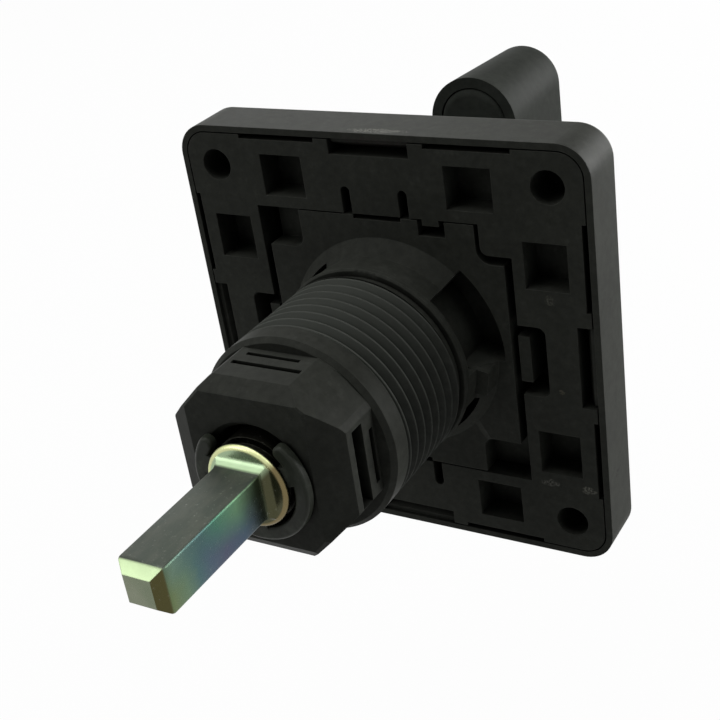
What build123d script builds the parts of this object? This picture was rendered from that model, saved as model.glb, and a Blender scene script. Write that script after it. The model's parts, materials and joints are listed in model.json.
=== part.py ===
"""Operating head of a rotary selector switch for panel mounting.

A 48 mm square front holds a 22 mm threaded neck, and a bar grip turns a square steel shaft that
leaves the neck at the rear. The origin is on the turning axis, in the plane of the front's rear rim,
which is the face that meets the panel. +Y points to the rear along the shaft, +Z is up and is where
the grip points at rest.
"""

import os
from math import cos, radians, sin, tan

from build123d import *

os.makedirs("parts", exist_ok=True)

# ---------------------------------------------------------------- clearances
snap_gap = 0.15  # between moulded pieces that snap together
running_fit = 0.05  # radial play of a turning fit
turning_gap = 0.3  # between pieces that turn past each other
seat_gap = 0.05  # around a piece pushed into its seat

# ---------------------------------------------------------------- square front
front_side = 48.0
front_depth = 6.6
front_corner_radius = 3.5
front_edge_round = 0.8
front_wall = 2.0
rim_wall = 0.7

dial_side = 42.0
dial_thickness = 0.8
dial_corner_radius = 2.0

lug_width = 9.0
lug_reach = 1.3
lug_tip = 0.5
lug_depth = 0.5
lug_height = 2.6
lug_flat = 1.2

post_width = 1.3
post_half_height = 2.7
post_inset = 0.4
post_nose = 0.35

# ---------------------------------------------------------------- rear frame inside the front
relief_depth = 0.45
relief_start = 6.4
relief_end = 15.9
window_half_width = 4.7
window_depth = 1.6

hole_inset = 4.5  # from the front's side to the centre of a corner hole
hole_radius = 1.8

pocket_length = 5.2
pocket_width = 4.7
pocket_depth = 3.3
pocket_centre_along = 11.0
pocket_centre_out = 18.7

opening_half = 15.05
tongue_slot_width = 1.1
tongue_slot_length = 3.0
tongue_half_width = 3.4
side_window_width = 3.0
side_window_half_height = 4.1
side_window_radius = 0.9
corner_block = 3.4
corner_block_radius = 0.9
key_tab_centre = 6.3
key_tab_width = 1.9
key_tab_drop = 0.7

# ---------------------------------------------------------------- neck and its flange
flange_side_gap = 0.9
flange_edge_gap = 0.15
flange_block_gap = 1.0
flange_inner_radius = 1.7
tongue_relief = 0.4
key_notch_half_width = 1.55
key_notch_depth = 1.7
corner_notch = 4.4
corner_notch_depth = 2.5
corner_notch_radius = 1.2

neck_radius = 11.0
base_radius = 12.5
base_height = 1.6
ridge_start = 4.25
ridge_end = 5.2
ridge_rise = 0.2
groove_depth = 0.6
thread_start = 6.5
thread_pitch = 1.5
thread_depth = 0.85
thread_crest = 0.3
thread_grooves = 7
neck_shoulder = 20.3
neck_chamfer = 0.55

moat_inner_radius = 9.3
moat_outer_radius = 13.3
moat_floor = 3.0
moat_upper_angles = (-2.0, 47.0)
moat_lower_angles = (-56.0, -24.0)
moat_lower_outer = 11.4
finger_angle = -10.0
finger_width = 3.0
finger_height = 2.4
finger_reach = 12.4
finger_edge_round = 0.4

end_face = 27.3
end_chamfer_start = 26.1
end_half = 9.4
end_corner_cut = 5.2
end_raised_cut = 4.3
end_offset = 0.2  # the end stands this far to the left of the axis and above it
end_ridge_radius = 10.4
end_front_half_across = 6.9
end_front_half_up = 7.85
end_front_cut = 1.5
end_front_raised_cut = 1.0
catch_slot_start = 22.2
catch_slot_end = 23.6
catch_slot_length = 8.0
catch_slot_depth = 1.7
key_slot_start = 20.5
key_slot_end = 21.1
key_slot_length = 6.0
key_slot_depth = 0.8

rear_bore_radius = 5.4
rear_bore_chamfer = 0.55
bearing_radius = 6.0
bearing_end = 12.0
chamber_radius = 8.2
chamber_end = 4.0

# ---------------------------------------------------------------- turning pieces
turn_limit = 60.0  # degrees each way

hub_front_radius = 7.0
hub_flat_half = 6.0
hub_collar_radius = 7.8
hub_collar_thickness = 2.6
hub_socket_end = 8.0
hub_front = -20.0
stop_lug_reach = 1.35
stop_lug_half_angle = 14.0
stop_ring_wall = 0.55
stop_play_angle = 2.0
disc_spring_thickness = 0.4
disc_spring_rise = 0.45
disc_spring_width = 1.3
thrust_washer_thickness = 0.25
bush_length = 7.5
o_ring_section = 1.2
o_ring_place = 8.6

shaft_square = 5.0
shaft_round_radius = 4.5
shaft_shoulder = 29.2
shaft_end = 45.4
shaft_end_chamfer = 1.1
shaft_runout_radius = 0.8
shaft_front = -18.0

clip_thickness = 1.0
clip_outer_radius = 6.4
clip_band = 1.5
clip_edge_round = 0.35
clip_groove_depth = 0.7
clip_open_from = 45.0
clip_open_to = 143.0
clip_lug_width = 2.0
clip_lug_angles = (20.0, 165.0, 270.0)
clip_face_gap = 0.3

seal_inner_clear = 0.1
seal_width = 1.6
seal_thickness = 1.0

# ---------------------------------------------------------------- grip
skirt_radius = 16.0
skirt_thickness = 4.6
skirt_edge_round = 1.2
boss_radius = 10.5
grip_back = -24.0
grip_front = -39.7
grip_half_width = 5.4
grip_draft = 3.1  # degrees
grip_tip = 22.0
grip_tail = 14.0
grip_edge_round = 0.9
grip_wall = 1.25
grip_front_wall = 2.5
boss_front = -27.5
boss_edge_round = 2.5
core_boss_gap = 0.6
core_stand = 0.35
core_edge_round = 0.8
indicator_width = 1.6
indicator_length = 9.0
indicator_depth = 0.8
indicator_tip_gap = 2.2

screw_head_radius = 2.75
screw_head_height = 2.0
screw_radius = 1.5
screw_length = 12.0
screw_slot_width = 0.8
screw_slot_depth = 0.9
screw_washer_radius = 3.1
screw_washer_thickness = 0.6
screw_hole_gap = 0.2
screw_well_radius = 3.4
screw_cap_thickness = 1.6
screw_cap_sink = 0.2

# ---------------------------------------------------------------- places worked out from the above
half_side = front_side / 2
hole_pitch = front_side - 2 * hole_inset
cavity_half = half_side - rim_wall
frame_half = cavity_half - snap_gap
frame_depth = front_depth - front_wall
inner_floor = -frame_depth
flange_half_u = opening_half - flange_side_gap
flange_half_v = opening_half - flange_edge_gap
end_flat_end = end_half - end_raised_cut
hub_collar_front = inner_floor + turning_gap
hub_collar_back = hub_collar_front + hub_collar_thickness
hub_radius = bearing_radius - running_fit
hub_rear = bearing_end - turning_gap
stop_lug_radius = hub_radius + stop_lug_reach
stop_ring_radius = chamber_radius - seat_gap
stop_ring_front = hub_collar_back + disc_spring_thickness + disc_spring_rise + running_fit
shaft_socket_half = shaft_square / 2 + seat_gap
clip_groove_start = end_face + clip_face_gap - seat_gap
clip_groove_end = end_face + clip_face_gap + clip_thickness + seat_gap
skirt_back = -front_depth - turning_gap
skirt_front = skirt_back - skirt_thickness
grip_tip_centre = grip_tip - grip_half_width
grip_tail_centre = -(grip_tail - grip_half_width)
grip_slope = tan(radians(grip_draft))


def rear_plane(y):
    """A sketch plane across the axis at y: its x runs to the right as seen from the rear, its y is up."""
    return Plane(origin=(0, y, 0), x_dir=(-1, 0, 0), z_dir=(0, 1, 0))


def end_plane(y):
    """A sketch plane across the neck at y, centred on the neck's offset end."""
    return Plane(origin=(end_offset, y, end_offset), x_dir=(-1, 0, 0), z_dir=(0, 1, 0))


def side_plane(angle, offset=0.0):
    """A sketch plane whose x runs to the rear and whose y points out of the side at this angle."""
    across = (cos(radians(angle)), 0, -sin(radians(angle)))
    return Plane(origin=tuple(offset * part for part in across), x_dir=(0, 1, 0), z_dir=across)


def ring_sector(inner, outer, start, end):
    """A flat sector of a ring between two radii and two angles in degrees."""
    with BuildSketch() as sector:
        with BuildLine():
            far = CenterArc((0, 0), outer, start, end - start)
            near = CenterArc((0, 0), inner, start, end - start)
            Line(far @ 0, near @ 0)
            Line(far @ 1, near @ 1)
        make_face()
    return sector.sketch


def end_outline(half_across, half_up, cut, raised_cut):
    """An eight-sided outline whose upper right corner is cut less than the other three."""
    with BuildSketch() as outline:
        Rectangle(2 * half_across, 2 * half_up)
        chamfer(outline.vertices().sort_by(lambda corner: corner.X + corner.Y)[:-1], cut)
        chamfer(outline.vertices().sort_by(lambda corner: corner.X + corner.Y)[-1], raised_cut)
    return outline.sketch


def polar(radius, angle):
    """The point of a sketch at a radius and an angle in degrees."""
    return (radius * cos(radians(angle)), radius * sin(radians(angle)))


def save(builder, name):
    """Label a finished piece and write it."""
    builder.part.label = name
    export_step(builder.part, f"parts/{name}.step")


# ================================================================ square front
with BuildPart() as bezel_frame:
    with BuildSketch(rear_plane(-front_depth)):
        RectangleRounded(front_side, front_side, front_corner_radius)
    extrude(amount=front_depth)
    fillet(bezel_frame.faces().sort_by(Axis.Y)[0].edges(), front_edge_round)
    with BuildSketch(rear_plane(inner_floor)):
        RectangleRounded(2 * cavity_half, 2 * cavity_half, front_corner_radius - rim_wall)
    extrude(amount=frame_depth, mode=Mode.SUBTRACT)
    with BuildSketch(rear_plane(-front_depth)):
        RectangleRounded(dial_side, dial_side, dial_corner_radius)
    extrude(amount=dial_thickness, mode=Mode.SUBTRACT)
    with BuildSketch(rear_plane(-front_depth)):
        Circle(hub_front_radius + turning_gap)
    extrude(amount=front_wall, mode=Mode.SUBTRACT)
    with BuildSketch(rear_plane(-front_depth)):
        Circle(hub_front_radius + seal_inner_clear + seal_width + seat_gap)
    extrude(amount=dial_thickness + seal_thickness - snap_gap, mode=Mode.SUBTRACT)
    # a wedge-shaped snap lug in the middle of each side of the rim
    for angle in range(0, 360, 90):
        with BuildSketch(side_plane(angle, -lug_width / 2)):
            with BuildLine():
                Polyline(
                    (-lug_depth, cavity_half + snap_gap),
                    (-lug_depth, cavity_half - lug_tip),
                    (-lug_depth - lug_flat, cavity_half - lug_reach),
                    (-lug_height, cavity_half - lug_reach),
                    (-lug_height, cavity_half + snap_gap),
                    close=True,
                )
            make_face()
        extrude(amount=lug_width)
    # a post with a small nose stands in each side window of the rear frame
    for side in (-1, 1):
        with BuildSketch(rear_plane(inner_floor)):
            with Locations((side * (opening_half + post_inset), 0)):
                Rectangle(post_width, 2 * post_half_height)
        extrude(amount=frame_depth - post_nose)
save(bezel_frame, "bezel_frame")

# ================================================================ blank dial plate
with BuildPart() as dial_plate:
    with BuildSketch(rear_plane(-front_depth)):
        side = dial_side - 2 * seat_gap
        RectangleRounded(side, side, dial_corner_radius)
        Circle(hub_front_radius + seal_inner_clear + seal_width + snap_gap, mode=Mode.SUBTRACT)
    extrude(amount=dial_thickness - seat_gap)
save(dial_plate, "dial_plate")

# ================================================================ lip seal between front and hub
with BuildPart() as lip_seal:
    seal_back = -front_depth + dial_thickness + seal_thickness - snap_gap
    with BuildSketch(rear_plane(seal_back - seal_thickness)):
        Circle(hub_front_radius + seal_inner_clear + seal_width)
        Circle(hub_front_radius + seal_inner_clear, mode=Mode.SUBTRACT)
    extrude(amount=seal_thickness)
save(lip_seal, "lip_seal")

# ================================================================ rear frame
relief_centre = (relief_start + relief_end) / 2
relief_length = relief_end - relief_start
block_centre = opening_half - corner_block / 2

with BuildPart() as rear_frame:
    with BuildSketch(rear_plane(inner_floor)):
        RectangleRounded(2 * frame_half, 2 * frame_half, front_corner_radius - rim_wall - snap_gap)
        # each edge steps back beside the corners and in the middle, where the front's lugs sit
        for turn in range(4):
            with Locations(Location((0, 0, 0), (0, 0, 90 * turn))):
                with Locations((relief_centre, frame_half), (-relief_centre, frame_half)):
                    Rectangle(relief_length, 2 * relief_depth, mode=Mode.SUBTRACT)
                with Locations((0, frame_half)):
                    Rectangle(2 * window_half_width, 2 * window_depth, mode=Mode.SUBTRACT)
        # the central opening, with two corner blocks left standing and a window at each side
        Rectangle(2 * opening_half, 2 * opening_half, mode=Mode.SUBTRACT)
        RectangleRounded(
            2 * (opening_half + side_window_width),
            2 * side_window_half_height,
            side_window_radius,
            mode=Mode.SUBTRACT,
        )
        with Locations((block_centre, block_centre), (-block_centre, -block_centre)):
            Rectangle(corner_block, corner_block)
        inner_corners = [v for v in vertices() if abs(abs(v.X) - opening_half + corner_block) < 1e-6
                         and abs(abs(v.Y) - opening_half + corner_block) < 1e-6]
        fillet(inner_corners, corner_block_radius)
        # two slots free a springy tongue at the top and at the bottom
        for side in (-1, 1):
            slot_place = side * (opening_half + tongue_slot_length / 2 - tongue_slot_width / 2)
            with Locations((-tongue_half_width, slot_place), (tongue_half_width, slot_place)):
                SlotOverall(
                    tongue_slot_length + tongue_slot_width, tongue_slot_width, 90, mode=Mode.SUBTRACT
                )
            # a small key drops from the frame into the flange's notch
            with Locations((side * key_tab_centre, side * (opening_half - key_tab_drop / 2))):
                Rectangle(key_tab_width, key_tab_drop)
    extrude(amount=frame_depth)
    # eight moulding pockets, two beside each corner hole
    with BuildSketch(rear_plane(-pocket_depth)):
        for side in (-1, 1):
            for end in (-1, 1):
                with Locations((side * pocket_centre_along, end * pocket_centre_out)):
                    Rectangle(pocket_length, pocket_width)
                with Locations((side * pocket_centre_out, end * pocket_centre_along)):
                    Rectangle(pocket_width, pocket_length)
    extrude(amount=pocket_depth, mode=Mode.SUBTRACT)
    with BuildSketch(rear_plane(inner_floor)):
        with GridLocations(hole_pitch, hole_pitch, 2, 2):
            Circle(hole_radius)
    extrude(amount=frame_depth, mode=Mode.SUBTRACT)
save(rear_frame, "rear_frame")

# ================================================================ neck, moulded in one with its flange
flange_corner = opening_half - corner_block - flange_block_gap / 2
notch_size = corner_notch * 2

with BuildPart() as neck_body:
    with BuildSketch(rear_plane(inner_floor)):
        Rectangle(2 * flange_half_u, 2 * flange_half_v)
        for side in (-1, 1):
            # the edge stands back from the frame's corner block, its tongue and its key
            block_edge = side * (flange_corner + corner_block)
            with Locations((block_edge, side * (flange_corner - flange_block_gap / 2 + corner_block))):
                RectangleRounded(
                    2 * corner_block, 2 * corner_block, flange_inner_radius, mode=Mode.SUBTRACT
                )
            with Locations((0, side * flange_half_v)):
                Rectangle(2 * tongue_half_width - tongue_slot_width, 2 * tongue_relief, mode=Mode.SUBTRACT)
            with Locations((side * key_tab_centre, side * flange_half_v)):
                Rectangle(2 * key_notch_half_width, 2 * key_notch_depth, mode=Mode.SUBTRACT)
    extrude(amount=frame_depth)
    # a shallow notch in the two other corners
    with BuildSketch(rear_plane(-corner_notch_depth)):
        with Locations((-flange_half_u, flange_half_v), (flange_half_u, -flange_half_v)):
            RectangleRounded(notch_size, notch_size, corner_notch_radius)
    extrude(amount=corner_notch_depth, mode=Mode.SUBTRACT)
    # the round neck: sealing cone, ridge, the thread as plain ring grooves, and shoulder
    thread_profile = []
    for groove in range(thread_grooves):
        groove_start = thread_start + thread_crest + groove * thread_pitch
        groove_end = groove_start + thread_pitch - thread_crest
        thread_profile += [
            (neck_radius, groove_start),
            (neck_radius - thread_depth, (groove_start + groove_end) / 2),
            (neck_radius, groove_end),
        ]
    with BuildSketch(Plane.XY):
        with BuildLine():
            Polyline(
                (0, -moat_floor),
                (base_radius, -moat_floor),
                (base_radius, 0),
                (neck_radius, base_height),
                (neck_radius, ridge_start),
                (neck_radius + ridge_rise, ridge_start + ridge_rise),
                (neck_radius + ridge_rise, ridge_end - ridge_rise),
                (neck_radius, ridge_end),
                (neck_radius - groove_depth, ridge_end),
                (neck_radius - groove_depth, thread_start - groove_depth),
                (neck_radius, thread_start),
                *thread_profile,
                (neck_radius, neck_shoulder - neck_chamfer),
                (neck_radius - neck_chamfer, neck_shoulder),
                (0, neck_shoulder),
                close=True,
            )
        make_face()
    revolve(axis=Axis.Y)
    # the moat round the foot of the neck, open in two windows on each side
    for turn in (0, 180):
        upper = ring_sector(moat_inner_radius, moat_outer_radius, *(a + turn for a in moat_upper_angles))
        lower = ring_sector(moat_inner_radius, moat_lower_outer, *(a + turn for a in moat_lower_angles))
        with BuildSketch(rear_plane(-moat_floor)):
            add(upper)
            add(lower)
        extrude(amount=moat_floor + ridge_start - ridge_rise, mode=Mode.SUBTRACT)
    # a latch finger stands between the two windows of each side
    for turn in (0, 180):
        with BuildSketch(rear_plane(-moat_floor)):
            middle = (chamber_radius + finger_reach) / 2
            place = Location((*polar(middle, finger_angle + turn), 0), (0, 0, finger_angle + turn))
            with Locations(place):
                RectangleRounded(finger_reach - chamber_radius, finger_width, finger_edge_round)
        extrude(amount=moat_floor + finger_height)
    # the eight-sided end that a switch block snaps on to, with one corner raised to a ridge
    end_outer = end_outline(end_half, end_half, end_corner_cut, end_raised_cut)
    end_front = end_outline(end_front_half_across, end_front_half_up, end_front_cut, end_front_raised_cut)
    with BuildSketch(end_plane(neck_shoulder)):
        add(end_outer)
        with BuildLine():
            ridge = polar(end_ridge_radius, 45)
            Polyline((end_flat_end, end_half), ridge, (end_half, end_flat_end), close=True)
        make_face()
    extrude(amount=end_chamfer_start - neck_shoulder)
    with BuildSketch(end_plane(end_chamfer_start)):
        add(end_outer)
    with BuildSketch(end_plane(end_face)):
        add(end_front)
    loft()
    # a catch slot and a shallow key slot run across each of the four flats
    for start, end, length, depth in (
        (catch_slot_start, catch_slot_end, catch_slot_length, catch_slot_depth),
        (key_slot_start, key_slot_end, key_slot_length, key_slot_depth),
    ):
        with BuildSketch(end_plane(start)):
            with PolarLocations(end_half, 4):
                Rectangle(2 * depth, length)
        extrude(amount=end - start, mode=Mode.SUBTRACT)
    # the stepped bore: stop chamber, bearing and rear bore
    with BuildSketch(Plane.XY):
        with BuildLine():
            Polyline(
                (0, inner_floor),
                (chamber_radius, inner_floor),
                (chamber_radius, chamber_end),
                (bearing_radius, chamber_end),
                (bearing_radius, bearing_end),
                (rear_bore_radius, bearing_end),
                (rear_bore_radius, end_face - rear_bore_chamfer),
                (rear_bore_radius + rear_bore_chamfer, end_face),
                (0, end_face),
                close=True,
            )
        make_face()
    revolve(axis=Axis.Y, mode=Mode.SUBTRACT)
save(neck_body, "neck_body")

# ================================================================ pieces fixed inside the neck
stop_half_gap = turn_limit + stop_lug_half_angle + stop_play_angle
with BuildPart() as stop_ring:
    stops = ring_sector(
        hub_radius + turning_gap, stop_ring_radius, 90 + stop_half_gap, 450 - stop_half_gap
    )
    with BuildSketch(rear_plane(stop_ring_front)):
        Circle(stop_ring_radius)
        Circle(stop_ring_radius - stop_ring_wall, mode=Mode.SUBTRACT)
        add(stops)
    extrude(amount=chamber_end - stop_ring_front)
save(stop_ring, "stop_ring")

with BuildPart() as disc_spring:
    spring_inner = stop_ring_radius - disc_spring_width
    with BuildSketch(Plane.XY):
        with BuildLine():
            Polyline(
                (spring_inner, stop_ring_front - disc_spring_thickness - disc_spring_rise),
                (stop_ring_radius, stop_ring_front - disc_spring_thickness),
                (stop_ring_radius, stop_ring_front),
                (spring_inner, stop_ring_front - disc_spring_rise),
                close=True,
            )
        make_face()
    revolve(axis=Axis.Y)
save(disc_spring, "disc_spring")

with BuildPart() as rear_bush:
    with BuildSketch(rear_plane(bearing_end + thrust_washer_thickness)):
        Circle(rear_bore_radius)
        Circle(shaft_round_radius + running_fit, mode=Mode.SUBTRACT)
    extrude(amount=bush_length)
save(rear_bush, "rear_bush")

with BuildPart() as thrust_washer:
    with BuildSketch(rear_plane(bearing_end)):
        Circle(rear_bore_radius)
        Circle(shaft_round_radius + running_fit, mode=Mode.SUBTRACT)
    extrude(amount=thrust_washer_thickness)
save(thrust_washer, "thrust_washer")

# ================================================================ drive hub, which turns in the neck
with BuildPart() as drive_hub:
    with BuildSketch(rear_plane(skirt_front)):
        Circle(hub_front_radius)
    extrude(amount=hub_collar_front - skirt_front)
    with BuildSketch(rear_plane(hub_front)):
        Circle(hub_front_radius)
        Rectangle(2 * hub_flat_half, 2 * hub_front_radius, mode=Mode.INTERSECT)
    extrude(amount=skirt_front - hub_front)
    with BuildSketch(rear_plane(hub_collar_front)):
        Circle(hub_collar_radius)
    extrude(amount=hub_collar_thickness)
    with BuildSketch(rear_plane(hub_collar_back)):
        Circle(hub_radius)
    extrude(amount=hub_rear - hub_collar_back)
    lug = ring_sector(
        hub_radius - seat_gap, stop_lug_radius, 90 - stop_lug_half_angle, 90 + stop_lug_half_angle
    )
    with BuildSketch(rear_plane(stop_ring_front + running_fit)):
        add(lug)
    extrude(amount=chamber_end - stop_ring_front - turning_gap)
    with BuildSketch(rear_plane(o_ring_place - o_ring_section / 2 - seat_gap)):
        Circle(hub_radius + seat_gap)
        Circle(bearing_radius - o_ring_section, mode=Mode.SUBTRACT)
    extrude(amount=o_ring_section + 2 * seat_gap, mode=Mode.SUBTRACT)
    with BuildSketch(rear_plane(hub_front)):
        Rectangle(2 * shaft_socket_half, 2 * shaft_socket_half)
    extrude(amount=hub_socket_end - hub_front, mode=Mode.SUBTRACT)
    with BuildSketch(rear_plane(hub_socket_end)):
        Circle(shaft_round_radius + seat_gap)
    extrude(amount=hub_rear - hub_socket_end, mode=Mode.SUBTRACT)
save(drive_hub, "drive_hub")

with BuildPart() as hub_o_ring:
    with BuildSketch(Plane.XY):
        with Locations((bearing_radius - o_ring_section / 2, o_ring_place)):
            Circle((o_ring_section - seat_gap) / 2)
    revolve(axis=Axis.Y)
save(hub_o_ring, "hub_o_ring")

# ================================================================ square shaft
shaft_half = shaft_square / 2
flat_clear = shaft_round_radius + turning_gap

with BuildPart() as square_shaft:
    with BuildSketch(rear_plane(shaft_front)):
        Rectangle(shaft_square, shaft_square)
    extrude(amount=hub_socket_end - shaft_front)
    with BuildSketch(rear_plane(hub_socket_end)):
        Circle(shaft_round_radius)
    extrude(amount=shaft_end - hub_socket_end)
    # four milled flats run out of the round at its shoulder in a small radius
    for angle in range(0, 360, 90):
        with BuildSketch(side_plane(angle, -flat_clear)):
            with BuildLine():
                run_out = shaft_half + shaft_runout_radius
                foot = shaft_shoulder + shaft_runout_radius
                Line((shaft_shoulder, flat_clear), (shaft_shoulder, run_out))
                RadiusArc((shaft_shoulder, run_out), (foot, shaft_half), shaft_runout_radius)
                Polyline((foot, shaft_half), (shaft_end, shaft_half), (shaft_end, flat_clear))
                Line((shaft_end, flat_clear), (shaft_shoulder, flat_clear))
            make_face()
        extrude(amount=2 * flat_clear, mode=Mode.SUBTRACT)
    chamfer(faces().sort_by(Axis.Y)[-1].edges(), shaft_end_chamfer)
    with BuildSketch(rear_plane(clip_groove_start)):
        Circle(shaft_round_radius + seat_gap)
        Circle(shaft_round_radius - clip_groove_depth, mode=Mode.SUBTRACT)
    extrude(amount=clip_groove_end - clip_groove_start, mode=Mode.SUBTRACT)
    with BuildSketch(rear_plane(shaft_front)):
        Circle(screw_radius + seat_gap)
    extrude(amount=screw_length, mode=Mode.SUBTRACT)
save(square_shaft, "square_shaft")

# ================================================================ retaining clip on the shaft
clip_inner_radius = clip_outer_radius - clip_band
with BuildPart() as retaining_clip:
    band = ring_sector(clip_inner_radius, clip_outer_radius, clip_open_to, clip_open_from + 360)
    grip_radius = shaft_round_radius - clip_groove_depth + seat_gap
    with BuildSketch(rear_plane(end_face + clip_face_gap)):
        add(band)
        middle_radius = (clip_inner_radius + clip_outer_radius) / 2
        with Locations(polar(middle_radius, clip_open_to), polar(middle_radius, clip_open_from)):
            Circle(clip_band / 2)
    extrude(amount=clip_thickness)
    fillet(faces().sort_by(Axis.Y)[-1].edges(), clip_edge_round)
    # three lugs reach in to the bottom of the shaft's groove
    with BuildSketch(rear_plane(end_face + clip_face_gap)):
        for angle in clip_lug_angles:
            lug_middle = (grip_radius + middle_radius) / 2
            with Locations(Location((*polar(lug_middle, angle), 0), (0, 0, angle))):
                Rectangle(middle_radius - grip_radius, clip_lug_width)
        Circle(grip_radius, mode=Mode.SUBTRACT)
    extrude(amount=clip_thickness)
save(retaining_clip, "retaining_clip")

# ================================================================ grip
with BuildPart() as grip_skirt:
    with BuildSketch(rear_plane(skirt_front)):
        Circle(skirt_radius)
    extrude(amount=skirt_thickness)
    fillet(faces().sort_by(Axis.Y)[0].edges(), skirt_edge_round)
    with BuildSketch(rear_plane(skirt_front)):
        Circle(hub_front_radius + seat_gap)
    extrude(amount=skirt_thickness, mode=Mode.SUBTRACT)
save(grip_skirt, "grip_skirt")


def bar_outline(half_width, tip, tail):
    """The outline of the grip in plan: a bar with a round tip above the axis and a round tail below it."""
    with BuildSketch() as outline:
        with Locations((0, tip), (0, tail)):
            Circle(half_width)
        with Locations((0, (tip + tail) / 2)):
            Rectangle(2 * half_width, tip - tail)
    return outline.sketch


core_half_width = grip_half_width - grip_wall
core_tail_centre = boss_radius + core_boss_gap + core_half_width
core_front = grip_front + grip_front_wall
core_back = grip_back + core_stand
groove_middle = grip_tip - indicator_tip_gap - indicator_length / 2

with BuildPart() as grip_shell:
    with BuildSketch(rear_plane(boss_front)):
        Circle(boss_radius)
    extrude(amount=skirt_front - boss_front)
    fillet(faces().sort_by(Axis.Y)[0].edges(), boss_edge_round)
    for y in (grip_front, grip_back):
        with BuildSketch(rear_plane(y)):
            half_width = grip_half_width - grip_slope * (grip_back - y)
            add(bar_outline(half_width, grip_tip_centre, grip_tail_centre))
    loft()
    fillet(faces().sort_by(Axis.Y)[0].edges(), grip_edge_round)
    # the socket for the hub, with the hub's two flats
    with BuildSketch(rear_plane(hub_front)):
        Circle(hub_front_radius + seat_gap)
        Rectangle(2 * (hub_flat_half + seat_gap), 2 * (hub_front_radius + seat_gap), mode=Mode.INTERSECT)
    extrude(amount=skirt_front - hub_front, mode=Mode.SUBTRACT)
    # the bar's tip is hollow from behind, where the core closes it
    for y in (core_front, grip_back):
        with BuildSketch(rear_plane(y)):
            half_width = core_half_width - grip_slope * (grip_back - y)
            add(bar_outline(half_width, grip_tip_centre, core_tail_centre))
    loft(mode=Mode.SUBTRACT)
    # the well and the hole of the axial screw, and the groove of the indicator
    with BuildSketch(rear_plane(grip_front)):
        Circle(screw_well_radius)
    extrude(amount=grip_back - grip_front, mode=Mode.SUBTRACT)
    with BuildSketch(rear_plane(grip_back)):
        Circle(screw_radius + screw_hole_gap)
    extrude(amount=hub_front - grip_back, mode=Mode.SUBTRACT)
    with BuildSketch(rear_plane(grip_front)):
        with Locations((0, groove_middle)):
            SlotOverall(indicator_length, indicator_width, 90)
    extrude(amount=indicator_depth, mode=Mode.SUBTRACT)
save(grip_shell, "grip_shell")

with BuildPart() as grip_core:
    for y in (core_front, core_back):
        with BuildSketch(rear_plane(y)):
            half_width = core_half_width - seat_gap - grip_slope * (grip_back - y)
            add(bar_outline(half_width, grip_tip_centre, core_tail_centre))
    loft()
    fillet(faces().sort_by(Axis.Y)[-1].edges(), core_edge_round)
save(grip_core, "grip_core")

with BuildPart() as grip_indicator:
    with BuildSketch(rear_plane(grip_front)):
        with Locations((0, groove_middle)):
            SlotOverall(indicator_length - 2 * seat_gap, indicator_width - 2 * seat_gap, 90)
    extrude(amount=indicator_depth)
save(grip_indicator, "grip_indicator")

# ================================================================ screw that holds the grip
with BuildPart() as screw_washer:
    with BuildSketch(rear_plane(grip_back - screw_washer_thickness)):
        Circle(screw_washer_radius)
        Circle(screw_radius + screw_hole_gap, mode=Mode.SUBTRACT)
    extrude(amount=screw_washer_thickness)
save(screw_washer, "screw_washer")

with BuildPart() as grip_screw:
    head_back = grip_back - screw_washer_thickness
    with BuildSketch(rear_plane(head_back - screw_head_height)):
        Circle(screw_head_radius)
    extrude(amount=screw_head_height)
    with BuildSketch(rear_plane(head_back - screw_head_height)):
        Rectangle(2 * screw_head_radius, screw_slot_width)
    extrude(amount=screw_slot_depth, mode=Mode.SUBTRACT)
    with BuildSketch(rear_plane(head_back)):
        Circle(screw_radius)
    extrude(amount=screw_length)
save(grip_screw, "grip_screw")

with BuildPart() as screw_cap:
    with BuildSketch(rear_plane(grip_front + screw_cap_sink)):
        Circle(screw_well_radius - seat_gap)
    extrude(amount=screw_cap_thickness)
save(screw_cap, "screw_cap")
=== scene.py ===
"""Dresses the operating head of a rotary selector switch.

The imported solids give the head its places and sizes. This script gives them their finishes, makes the
threaded neck, the neck's eight-sided end and the square shaft in finer detail, and sets up the studio
and the camera.
"""

import json
import logging
import math
from collections.abc import Sequence
from dataclasses import dataclass, field
from enum import Enum
from typing import ClassVar

import bmesh
import bpy
from mathutils import Matrix, Vector


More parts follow.
